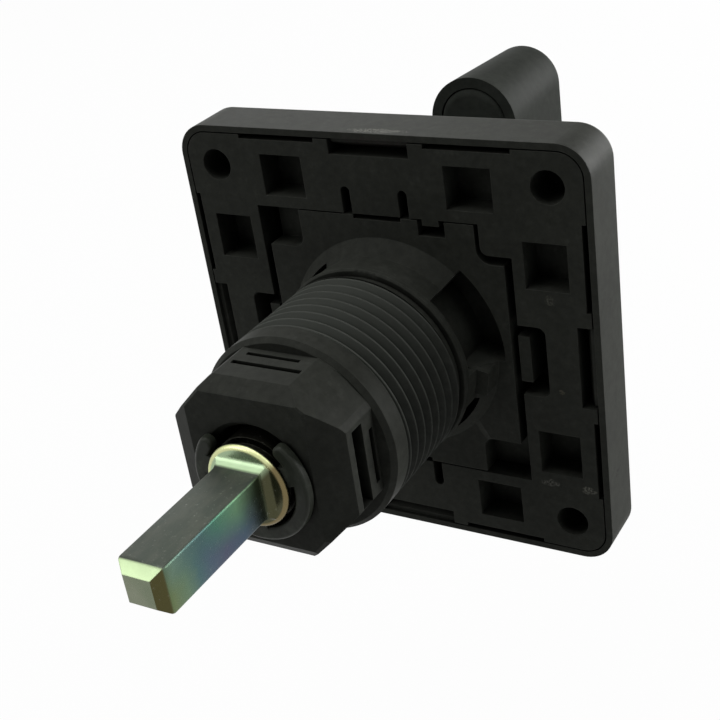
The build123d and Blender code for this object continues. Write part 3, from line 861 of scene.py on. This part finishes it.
# ---- the neck
@dataclass
class ThreadedNeck:
    """The neck moulding, with its thread cut as a real helix.

    The solid has plain ring grooves. A copy of it is pulled in below their feet between the two ends
    of the thread, and a ring that carries the helix fills the gap. Crest and root are shares of the
    pitch.
    """

    node: str = "neck_body"
    body: str = "root"
    slot: str = "moulded_black"
    thread_finish: str = "thread_black"
    pitch: float = 1.5 * MM
    depth: float = 0.85 * MM
    crest: float = 0.12
    root: float = 0.12
    steps: int = 160
    lead_in: float = 1.5
    extra_turns: int = 2
    start: float = 6.5 * MM
    end: float = 17.6 * MM
    sink: float = 0.1 * MM
    gap: float = 0.02 * MM
    collar: float = COLLAR * MM
    flat_angle: float = math.radians(0.3)
    radius: float = field(init=False)
    inner: float = field(init=False)

    def __post_init__(self) -> None:
        """Take the major radius from the record's neck mount, and the ring's inner radius from that."""
        mounts = {m["name"]: m for m in frame["record"]["mounts"]}
        self.radius = mounts["neck"]["dims"]["r_mm"] * MM
        self.inner = self.radius - self.depth - self.sink

    def core(self) -> bpy.types.Object:
        """The neck's copy, cut off at the collar, with a groove where the thread goes."""
        mesh = bmesh.new()
        mesh.from_mesh(frame["nodes"][self.node].data)
        bmesh.ops.remove_doubles(mesh, verts=mesh.verts, dist=WELD)
        bmesh.ops.dissolve_limit(mesh, angle_limit=self.flat_angle, verts=mesh.verts, edges=mesh.edges)
        rims = split(mesh, (0, self.collar, 0), (0, 1, 0), ON_PLANE, clear=True)
        bmesh.ops.bridge_loops(mesh, edges=rims)
        for place in (self.start, self.start + self.gap, self.end - self.gap, self.end):
            split(mesh, (0, place, 0), (0, 1, 0), ON_PLANE)
        first, last = self.start + self.gap / 2, self.end - self.gap / 2
        for vert in mesh.verts:
            if first < vert.co.y < last and math.hypot(vert.co.x, vert.co.z) > self.inner:
                pull_to(vert, self.inner)
        bmesh.ops.recalc_face_normals(mesh, faces=mesh.faces)
        return finish_mesh(mesh, "neck_moulding")

    def outline(self) -> list[Vector]:
        """The thread's outline along the neck, which starts a few turns early and ends late.

        Returns:
            Its points in metres, as distance from the axis and place along it.
        """
        tip, foot = self.radius, self.radius - self.depth
        flank = (1 - self.crest - self.root) / 2
        turn = [
            (0.0, tip),
            (self.crest, tip),
            (self.crest + flank, foot),
            (self.crest + flank + self.root, foot),
        ]
        turns = math.ceil((self.end - self.start) / self.pitch) + self.extra_turns
        return [
            Vector((away, self.start + (index - self.lead_in + share) * self.pitch, 0))
            for index in range(turns)
            for share, away in turn
        ]

    def thread(self) -> bpy.types.Object:
        """The ring that carries the helical thread."""
        mesh = bmesh.new()
        revolve(mesh, self.outline(), closed=False, steps=self.steps, rise=self.pitch / self.steps)
        bmesh.ops.remove_doubles(mesh, verts=mesh.verts, dist=WELD)
        for place, side in ((self.start, -1), (self.end, 1)):
            rim = split(mesh, (0, place, 0), (0, side, 0), clear=True)
            grown = bmesh.ops.extrude_edge_only(mesh, edges=rim)["geom"]
            for vert in (g for g in grown if isinstance(g, bmesh.types.BMVert)):
                pull_to(vert, self.inner)
        bmesh.ops.bridge_loops(mesh, edges=[edge for edge in mesh.edges if edge.is_boundary])
        bmesh.ops.recalc_face_normals(mesh, faces=mesh.faces)
        return finish_mesh(mesh, "neck_thread")

    def build(self, paints: Paints) -> list[bpy.types.Object]:
        """Make both pieces and dress them."""
        pieces = [self.core(), self.thread()]
        for piece, finish in zip(pieces, (self.slot, self.thread_finish)):
            paints.dress(piece, finish)
            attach(piece, self.body)
        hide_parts(self.node)
        return pieces


# ---- the neck's end
class Side(Enum):
    """The four flats of the neck's end as outward directions, named as seen from the rear."""

    UP = (0, 0, 1)
    DOWN = (0, 0, -1)
    LEFT = (1, 0, 0)
    RIGHT = (-1, 0, 0)


@dataclass(frozen=True)
class Cut:
    """A flat cut, as a point that it passes through and the direction in which it takes all off."""

    through: Triple
    off: Triple


@dataclass(frozen=True)
class Slot:
    """A slot in a flat: where it starts and ends along the shaft and across the flat, and its depth."""

    side: Side
    along: Pair
    across: Pair
    depth: float


@dataclass
class NeckEnd:
    """The eight-sided end that a switch block snaps on to, cut from a tube as a cutter would.

    Distances are in millimetres from the end's own middle, which stands a little off the axis.
    """

    ALIGNED: ClassVar[float] = 0.999

    body: str = "root"
    slot: str = "moulded_black"
    middle: Pair = (0.2, 0.2)
    start: float = COLLAR
    face: float = 27.3
    radius: float = 10.5
    bore: float = 5.4
    bore_chamfer: float = 0.55
    flat: float = 9.4
    corner: float = 9.62
    plain_corners: tuple[tuple[int, int], ...] = ((1, 1), (1, -1), (-1, -1))
    ridge: tuple[Cut, ...] = (
        Cut((-5.1, 0, flat), (-2.05, 0, 2.25)),
        Cut((-flat, 0, 5.1), (-2.25, 0, 2.05)),
    )
    face_chamfers: tuple[Cut, ...] = (
        Cut((0, 25.45, flat), (0, 1.0, 1.85)),
        Cut((-flat, 24.9, 0), (-2.4, 2.75, 0)),
        Cut((0, 26.1, -flat), (0, 1.55, -1.2)),
        Cut((flat, 26.1, 0), (1.2, 2.5, 0)),
    )
    corner_chamfers: tuple[Cut, ...] = (
        Cut((-6.75, face, 7.6), (-1.0, 1.35, 0.9)),
        Cut((6.6, face, 6.6), (1.0, 1.4, 1.0)),
        Cut((6.6, face, -6.6), (1.0, 1.4, -1.0)),
        Cut((-6.0, face, -7.0), (-1.0, 1.6, -0.9)),
    )
    slots: tuple[Slot, ...] = (
        Slot(Side.UP, (22.7, 23.3), (-3.6, 4.2), 1.0),
        Slot(Side.UP, (21.0, 21.5), (-3.0, 3.0), 0.8),
        Slot(Side.DOWN, (22.25, 24.0), (-4.0, 4.0), 1.7),
        Slot(Side.DOWN, (20.5, 21.2), (-3.0, 3.0), 0.8),
        Slot(Side.LEFT, (22.25, 24.0), (-4.0, 4.0), 1.7),
        Slot(Side.LEFT, (20.5, 21.2), (-3.0, 3.0), 0.8),
        Slot(Side.RIGHT, (22.25, 24.0), (-4.4, 4.4), 1.7),
        Slot(Side.RIGHT, (20.5, 21.2), (-3.0, 3.0), 0.8),
    )
    sides: int = 160
    sharp: float = math.radians(3)

    def point(self, place: Sequence[float]) -> Vector:
        """A point given from the end's middle, in metres."""
        return Vector((place[0] + self.middle[0], place[1], place[2] + self.middle[1])) * MM

    def tube(self) -> bmesh.types.BMesh:
        """The tube that the end is cut from."""
        outline = [
            (self.bore, self.start),
            (self.radius, self.start),
            (self.radius, self.face),
            (self.bore + self.bore_chamfer, self.face),
            (self.bore, self.face - self.bore_chamfer),
        ]
        mesh = bmesh.new()
        points = [Vector((away, place, 0)) * MM for away, place in outline]
        revolve(mesh, points, closed=True, steps=self.sides)
        bmesh.ops.remove_doubles(mesh, verts=mesh.verts, dist=FINE_WELD)
        bmesh.ops.recalc_face_normals(mesh, faces=mesh.faces)
        return mesh

    def cut(self, mesh: bmesh.types.BMesh, cut: Cut) -> None:
        """Make a flat cut through the end, and close it."""
        rim = split(mesh, self.point(cut.through), cut.off, clear=True)
        bmesh.ops.contextual_create(mesh, geom=rim)

    def facing(self, mesh: bmesh.types.BMesh, out: Vector) -> list[bmesh.types.BMFace]:
        """The faces that look in a direction."""
        return [face for face in mesh.faces if face.normal.dot(out) > self.ALIGNED]

    def sink(self, mesh: bmesh.types.BMesh, slot: Slot) -> None:
        """Sink a slot into its flat.

        Args:
            mesh: The end, with its flats.
            slot: The slot.
        """
        out, along = Vector(slot.side.value), Vector((0, 1, 0))
        across = out.cross(along)
        ends = [(along * place, along) for place in slot.along]
        ends += [(across * place, across) for place in slot.across]
        for place, normal in ends:
            faces = self.facing(mesh, out)
            corners = dict.fromkeys(vert for face in faces for vert in face.verts)
            edges = dict.fromkeys(edge for face in faces for edge in face.edges)
            split(mesh, self.point(place), normal, parts=[*corners, *edges, *faces])
            mesh.normal_update()
        centre = across * sum(slot.across) / 2 + along * sum(slot.along) / 2
        middle = self.point(out * self.flat + centre)
        floor = min(
            self.facing(mesh, out), key=lambda face: (face.calc_center_median() - middle).length
        )
        sunk = bmesh.ops.extrude_discrete_faces(mesh, faces=[floor])["faces"][0]
        bmesh.ops.translate(mesh, verts=sunk.verts[:], vec=-out * slot.depth * MM)

    def build(self, paints: Paints) -> list[bpy.types.Object]:
        """Make the end and dress it."""
        mesh = self.tube()
        flats = [(Vector(side.value), self.flat) for side in Side]
        corners = [(Vector((x, 0, z)).normalized(), self.corner) for x, z in self.plain_corners]
        outer = [Cut(tuple(out * away), tuple(out)) for out, away in flats + corners]
        for cut in (*outer, *self.ridge, *self.face_chamfers, *self.corner_chamfers):
            self.cut(mesh, cut)
        mesh.normal_update()
        for slot in self.slots:
            self.sink(mesh, slot)
        bmesh.ops.recalc_face_normals(mesh, faces=mesh.faces)
        end = finish_mesh(mesh, "neck_end", self.sharp)
        paints.dress(end, self.slot)
        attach(end, self.body)
        return [end]


# ---- the shaft
@dataclass
class SquareShaft:
    """The square shaft, grown ring by ring from its screw hole to its chamfered end.

    Each ring is the overlap of a circle and a square. The round journal ends in a rounded shoulder,
    out of which the four milled flats flare. Lengths are in millimetres. The groove is where the clip's
    groove starts and ends and its radius, and the flare is its length and its rise.
    """

    CLEAR_OF_FLARE: ClassVar[float] = 0.9

    node: str = "square_shaft"
    body: str = "rotor"
    slot: str = "passivated_steel"
    half: float = 2.5
    round_radius: float = 4.5
    hole_radius: float = 1.3
    hole_depth: float = 13.0
    journal: float = 8.05
    groove: Triple = (27.55, 28.65, 3.8)
    shoulder: float = SHOULDER
    shoulder_round: float = 0.42
    flare: Pair = (1.0, 0.72)
    end_chamfer: float = 1.0
    edge_round: float = 0.28
    edge_segments: int = 3
    sides: int = 128
    round_steps: int = 6
    flare_steps: int = 12
    flat_angle: float = math.radians(0.2)
    sharp: float = math.radians(32)

    def sections(self) -> list[Triple]:
        """The rings in order.

        Returns:
            Each ring's place along the shaft, its circle's radius and its square's half side.
        """
        low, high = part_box(self.node)
        front, tip = low.y / MM, high.y / MM
        wide = 2 * self.round_radius
        start, stop, floor = self.groove
        return [
            (front + self.hole_depth, self.hole_radius, wide),
            (front, self.hole_radius, wide),
            (front, wide, self.half),
            (self.journal, wide, self.half),
            (self.journal, self.round_radius, wide),
            (start, self.round_radius, wide),
            (start, floor, wide),
            (stop, floor, wide),
            (stop, self.round_radius, wide),
            *self.shoulder_rings(wide),
            *self.flare_rings(),
            (tip - self.end_chamfer, wide, self.half),
            (tip, wide, self.half - self.end_chamfer),
        ]

    def shoulder_rings(self, wide: float) -> list[Triple]:
        """The rings of the rounded shoulder.

        Args:
            wide: A half side that lies outside the circle.
        """
        rings = []
        for step in range(self.round_steps + 1):
            turn = math.pi / 2 * step / self.round_steps
            place = self.shoulder - self.shoulder_round * (1 - math.sin(turn))
            radius = self.round_radius - self.shoulder_round + self.shoulder_round * math.cos(turn)
            rings.append((place, radius, wide))
        return rings

    def flare_rings(self) -> list[Triple]:
        """The rings of the flare, which falls from the shoulder to the flats."""
        rings = []
        length, rise = self.flare
        for step in range(self.flare_steps + 1):
            turn = math.pi / 2 * (1 - step / self.flare_steps)
            place = self.shoulder + length * (1 - math.sin(turn))
            half = self.half + rise * (1 - math.cos(turn))
            rings.append((place, self.round_radius - self.shoulder_round, half))
        return rings

    def on_corner(self, point: Vector) -> bool:
        """Whether a point lies on one of the square's long edges, clear of the flare."""
        near = abs(abs(point.x) - abs(point.z)) < WELD and abs(abs(point.x) - self.half * MM) < WELD
        return near and point.y > (self.shoulder + self.flare[0] * self.CLEAR_OF_FLARE) * MM

    def grown(self) -> bmesh.types.BMesh:
        """Grow the shaft ring by ring."""
        mesh = bmesh.new()
        ring = bmesh.ops.create_circle(mesh, cap_ends=True, segments=self.sides, radius=1.0)["verts"]
        across = Matrix.Rotation(math.radians(90), 3, "X")
        bmesh.ops.rotate(mesh, verts=ring, cent=(0, 0, 0), matrix=across)
        edges = mesh.edges[:]
        for index, (place, radius, half) in enumerate(self.sections()):
            if index > 0:
                grown = bmesh.ops.extrude_edge_only(mesh, edges=edges)["geom"]
                ring = [g for g in grown if isinstance(g, bmesh.types.BMVert)]
                edges = [g for g in grown if isinstance(g, bmesh.types.BMEdge)]
            for vert in ring:
                out = Vector((vert.co.x, vert.co.z)).normalized()
                reach = min(radius, half / max(abs(out.x), abs(out.y)))
                vert.co = Vector((out.x * reach, place, out.y * reach)) * MM
        bmesh.ops.contextual_create(mesh, geom=edges)
        bmesh.ops.remove_doubles(mesh, verts=mesh.verts, dist=FINE_WELD)
        bmesh.ops.recalc_face_normals(mesh, faces=mesh.faces)
        return mesh

    def build(self, paints: Paints) -> list[bpy.types.Object]:
        """Make the shaft and dress it."""
        mesh = self.grown()
        bmesh.ops.dissolve_limit(mesh, angle_limit=self.flat_angle, verts=mesh.verts, edges=mesh.edges)
        bmesh.ops.bevel(
            mesh,
            geom=[edge for edge in mesh.edges if all(self.on_corner(vert.co) for vert in edge.verts)],
            offset=self.edge_round * MM,
            segments=self.edge_segments,
            profile=0.5,
            affect="EDGES",
            material=-1,
        )
        shaft = finish_mesh(mesh, "shaft_square", self.sharp)
        paints.dress(shaft, self.slot)
        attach(shaft, self.body)
        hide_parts(self.node)
        return [shaft]


# ---- pieces that keep their solids
@dataclass
class SolidPieces:
    """The pieces whose solids already have the right shape, and only take a finish."""

    replaced: tuple[str, ...]

    def build(self, paints: Paints) -> list[bpy.types.Object]:
        """Dress each node with the slot that the record gives it."""
        dressed = []
        for part in frame["record"]["subparts"]:
            if part["node"] not in self.replaced:
                node = frame["nodes"][part["node"]]
                paints.dress(node, part["material_slot"])
                dressed.append(node)
        return dressed


# ---- studio
@dataclass
class Lamp:
    """One soft square lamp, with its place and side in metres and its power in watts."""

    name: str
    place: Triple
    power: float
    side: float = 0.30

    def build(self, aim: Vector) -> bpy.types.Object:
        """Make the lamp and point it.

        Args:
            aim: Where it points.
        """
        data = bpy.data.lights.new(self.name, "AREA")
        data.shape = "SQUARE"
        data.size = self.side
        data.energy = self.power
        lamp = bpy.data.objects.new(self.name, data)
        lamp.location = self.place
        lamp.rotation_euler = (aim - lamp.location).to_track_quat("-Z", "Y").to_euler()
        bpy.context.scene.collection.objects.link(lamp)
        return lamp


@dataclass
class Studio:
    """A pale floor, a white surround and soft lamps that aim at the head."""

    WHITE: ClassVar[Colour] = (1.0, 1.0, 1.0)

    floor_drop: float = 0.030
    floor_side: float = 3.0
    floor_colour: Colour = (0.5, 0.5, 0.5)
    floor_roughness: float = 0.9
    floor_glow: float = 0.97
    surround: float = 0.04
    lamps: tuple[Lamp, ...] = (
        Lamp("lamp_top", (0.08, 0.00, 0.50), 1.35),
        Lamp("lamp_right", (-0.35, -0.35, 0.06), 1.7),
        Lamp("lamp_front", (-0.22, -0.44, 0.06), 2.9),
        Lamp("lamp_rear", (0.28, 0.28, 0.24), 0.55),
        Lamp("lamp_over", (-0.30, 0.00, 0.40), 0.40),
        Lamp("lamp_left", (0.30, -0.32, 0.22), 0.45),
    )

    def build(self) -> None:
        """Make the floor, the surround and the lamps."""
        low, high = CAD_BOX
        centre = Vector(((low.x + high.x) / 2, (low.y + high.y) / 2, low.z - self.floor_drop))
        below = Matrix.Translation(centre)
        mesh = bmesh.new()
        bmesh.ops.create_grid(mesh, x_segments=1, y_segments=1, size=self.floor_side / 2, matrix=below)
        floor = finish_mesh(mesh, "floor")
        floor.data.materials.append(self.floor_material())
        self.world()
        for lamp in self.lamps:
            lamp.build(Vector((0, 0, 0)))

    def floor_material(self) -> bpy.types.Material:
        """A pale floor that shows white to the camera and keeps a faint shadow."""
        s = Shader("floor_white")
        s.set(Base_Color=self.floor_colour, Roughness=self.floor_roughness)
        glow = s.node("ShaderNodeEmission", {}, {"Color": self.WHITE, "Strength": 1.0})
        share = s.seen() * self.floor_glow
        s.show(s.node("ShaderNodeMixShader", {}, {0: share, 1: s.principled, 2: glow}))
        return s.material

    def world(self) -> None:
        """Make a dim surround that the camera, reflections and glass see as white."""
        world = bpy.data.worlds.new("surround")
        bpy.context.scene.world = world
        world.use_nodes = True
        s = Nodes(world.node_tree, "ShaderNodeOutputWorld")
        dim = s.node("ShaderNodeBackground", {}, {"Color": self.WHITE, "Strength": self.surround})
        white = s.node("ShaderNodeBackground", {}, {"Color": self.WHITE, "Strength": 1.0})
        s.show(s.node("ShaderNodeMixShader", {}, {0: s.seen(), 1: dim, 2: white}))


@dataclass
class Viewpoint:
    """The camera, behind the panel side of the head, above and to one side.

    Its place and what it points at are in metres, its roll in degrees, and its lens and sensor in
    millimetres.
    """

    place: Triple = (-0.06802, 0.10765, 0.06651)
    aim: Triple = (0.00298, 0.00277, -0.00116)
    roll: float = 9.05
    lens: float = 65.58
    sensor: float = 36.0
    nearest: float = 0.005

    def build(self) -> bpy.types.Object:
        """Make the camera, point it and make it the scene's own."""
        data = bpy.data.cameras.new("camera")
        data.lens = self.lens
        data.sensor_width = self.sensor
        data.clip_start = self.nearest
        camera = bpy.data.objects.new("camera", data)
        camera.location = self.place
        turn = (Vector(self.aim) - camera.location).to_track_quat("-Z", "Y").to_matrix()
        turn = turn @ Matrix.Rotation(math.radians(-self.roll), 3, "Z")
        camera.rotation_euler = turn.to_euler()
        bpy.context.scene.collection.objects.link(camera)
        bpy.context.scene.camera = camera
        return camera


def main() -> None:
    """Build the head's looks, the studio and the camera, and report each piece."""
    logging.basicConfig(level=logging.INFO, format="%(name)s: %(message)s")
    paints = Paints()
    neck = ThreadedNeck()
    shaft = SquareShaft()
    pieces = neck.build(paints) + NeckEnd().build(paints) + shaft.build(paints)
    pieces += SolidPieces(replaced=(neck.node, shaft.node)).build(paints)
    for piece in pieces:
        log.info("%s: %d faces, %s", piece.name, len(piece.data.polygons), piece.data.materials[0].name)
    Studio().build()
    Viewpoint().build()
    bpy.context.scene.view_settings.view_transform = "Standard"


if __name__ == "__main__":
    main()
